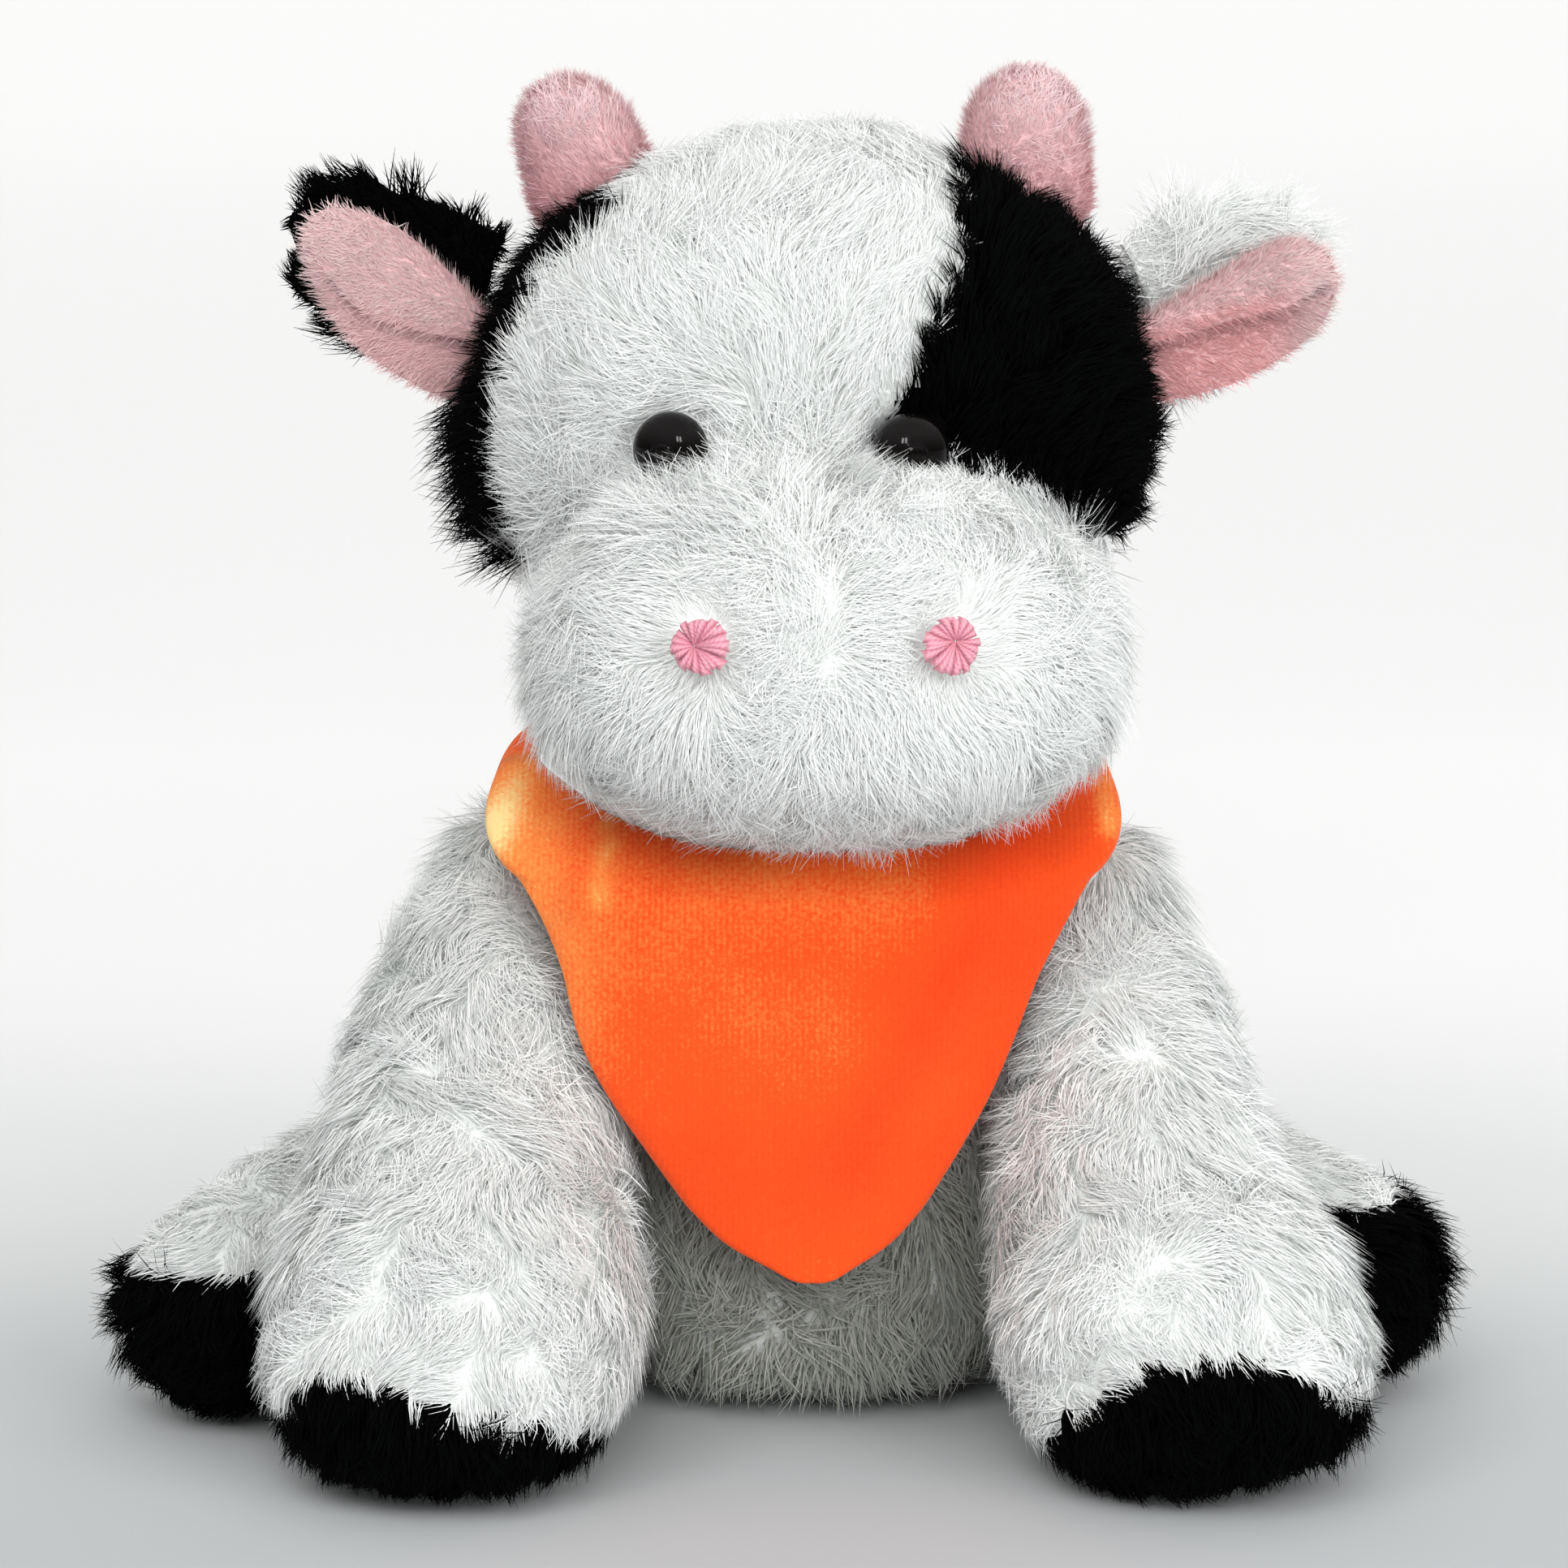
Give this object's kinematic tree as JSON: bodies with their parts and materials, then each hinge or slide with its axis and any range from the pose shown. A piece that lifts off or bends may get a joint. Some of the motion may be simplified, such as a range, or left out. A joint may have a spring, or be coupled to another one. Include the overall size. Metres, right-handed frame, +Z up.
{
  "type": "plush cow",
  "caption": "Seated soft plush cow with a padded body and legs, a large muzzle, floppy ears, soft horns and a cloth bandana tied round its neck.",
  "frame": {"origin": "middle of the footprint, on the floor under the seat", "axes": "+Z up, -Y the way the toy looks, +X towards the toy's own left side"},
  "size_m": [0.2196, 0.1718, 0.2189],
  "materials": {
    "white_pile": "long white plush pile",
    "black_pile": "black plush pile",
    "pink_pile": "short pink plush pile",
    "pink_yarn": "satin stitched yarn",
    "orange_cloth": "ribbed fleece",
    "eye_plastic": "polished dark brown",
    "washer_plastic": "natural white",
    "stuffing": "loose polyester fibre",
    "pellet_cloth": "plain lining cloth round pellets"
  },
  "bodies": {
    "torso": {"torso_cover": "white_pile", "torso_stuffing": "stuffing", "pellet_bag": "pellet_cloth", "bandana_collar": "orange_cloth", "bandana_knot": "orange_cloth"},
    "head": {"muzzle_cover": "white_pile", "face_panel": "white_pile", "eye_patch_panel": "black_pile", "side_patch_panel": "black_pile", "back_panel": "white_pile", "head_stuffing": "stuffing", "horn_cover_left": "pink_pile", "horn_stuffing_left": "stuffing", "eye_left": "eye_plastic", "eye_washer_left": "washer_plastic", "nostril_left": "pink_yarn", "horn_cover_right": "pink_pile", "horn_stuffing_right": "stuffing", "eye_right": "eye_plastic", "eye_washer_right": "washer_plastic", "nostril_right": "pink_yarn"},
    "ear_left": {"ear_outer_left": "white_pile", "ear_lining_left": "pink_pile"},
    "ear_right": {"ear_outer_right": "black_pile", "ear_lining_right": "pink_pile"},
    "front_leg_left": {"front_leg_cover_left": "white_pile", "front_hoof_left": "black_pile", "front_leg_stuffing_left": "stuffing"},
    "front_leg_right": {"front_leg_cover_right": "white_pile", "front_hoof_right": "black_pile", "front_leg_stuffing_right": "stuffing"},
    "hind_leg_left": {"hind_leg_cover_left": "white_pile", "hind_hoof_left": "black_pile", "hind_leg_stuffing_left": "stuffing"},
    "hind_leg_right": {"hind_leg_cover_right": "white_pile", "hind_hoof_right": "black_pile", "hind_leg_stuffing_right": "stuffing"},
    "tail": {"tail": "white_pile", "tail_tuft": "black_pile"},
    "bandana_flap": {"bandana_flap": "orange_cloth"}
  },
  "joints": [
    {"name": "head_nod", "type": "hinge", "parent": "torso", "child": "head", "pos_m": [0.00399, 0.00038, 0.0914], "axis": [1, 0, 0], "range_deg": [-15, 4], "stiffness_Nm_per_rad": 0.25},
    {"name": "ear_left_flop", "type": "hinge", "parent": "head", "child": "ear_left", "pos_m": [0.05219, 0.00038, 0.1759], "axis": [0, -1, 0], "range_deg": [-7, 7], "stiffness_Nm_per_rad": 0.02},
    {"name": "ear_right_flop", "type": "hinge", "parent": "head", "child": "ear_right", "pos_m": [-0.04421, 0.00038, 0.1744], "axis": [0, 1, 0], "range_deg": [-7, 7], "stiffness_Nm_per_rad": 0.02},
    {"name": "front_leg_left_spread", "type": "hinge", "parent": "torso", "child": "front_leg_left", "pos_m": [0.03599, -0.00462, 0.0944], "axis": [0, -1, 0], "range_deg": [0, 5]},
    {"name": "front_leg_right_spread", "type": "hinge", "parent": "torso", "child": "front_leg_right", "pos_m": [-0.02801, -0.00462, 0.0944], "axis": [0, 1, 0], "range_deg": [0, 5]},
    {"name": "hind_leg_left_swing", "type": "hinge", "parent": "torso", "child": "hind_leg_left", "pos_m": [0.03399, 0.01838, 0.024], "axis": [0, 0, 1], "range_deg": [0, 20]},
    {"name": "hind_leg_right_swing", "type": "hinge", "parent": "torso", "child": "hind_leg_right", "pos_m": [-0.02601, 0.01838, 0.024], "axis": [0, 0, -1], "range_deg": [0, 20]},
    {"name": "tail_swing", "type": "hinge", "parent": "torso", "child": "tail", "pos_m": [0.00399, 0.05038, 0.034], "axis": [0, 0, 1], "range_deg": [-15, 15], "stiffness_Nm_per_rad": 0.005},
    {"name": "bandana_flap_lift", "type": "hinge", "parent": "torso", "child": "bandana_flap", "pos_m": [0.00399, -0.04562, 0.0914], "axis": [-1, 0, 0], "range_deg": [0, 30]}
  ]
}
